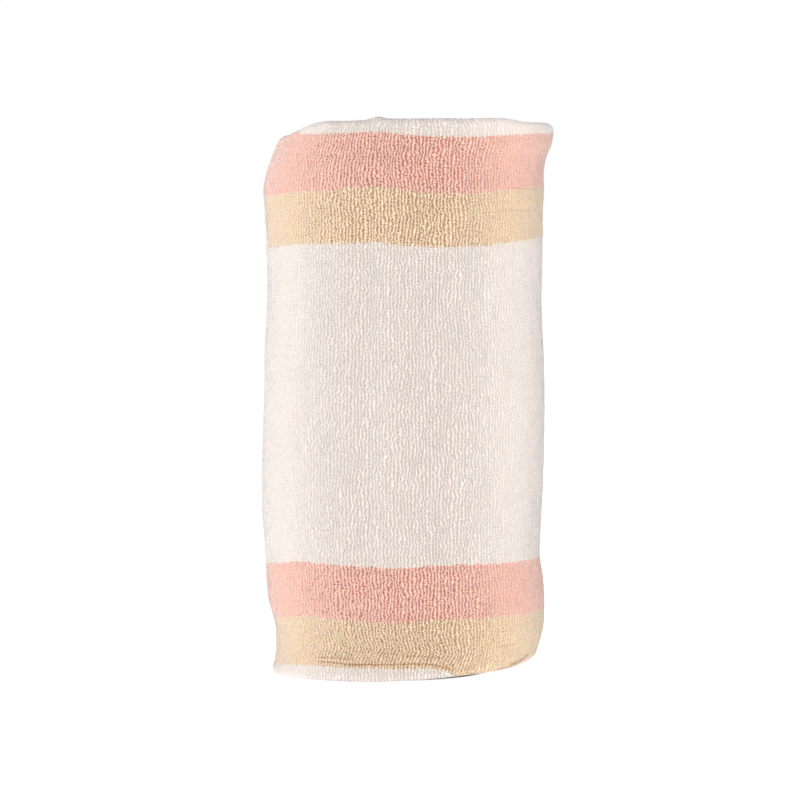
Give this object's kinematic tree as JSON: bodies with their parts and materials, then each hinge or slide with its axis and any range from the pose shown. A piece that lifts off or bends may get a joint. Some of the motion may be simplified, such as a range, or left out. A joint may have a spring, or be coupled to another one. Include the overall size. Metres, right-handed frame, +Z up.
{
  "type": "rolled beach towel",
  "caption": "Striped terry beach towel, folded lengthwise and rolled up, standing on one end with the spiral of its folds showing at both ends.",
  "frame": {"origin": "on the surface under the middle of the roll's box", "axes": "+Z up along the roll, -Y towards the front of the roll, the end of the cloth lies on the back"},
  "size_m": [0.1588, 0.1272, 0.3002],
  "materials": {
    "terry": "soft matt cotton loops in cream, with woven stripes of salmon pink and sand"
  },
  "bodies": {
    "root": {"towel": "terry"}
  },
  "joints": []
}
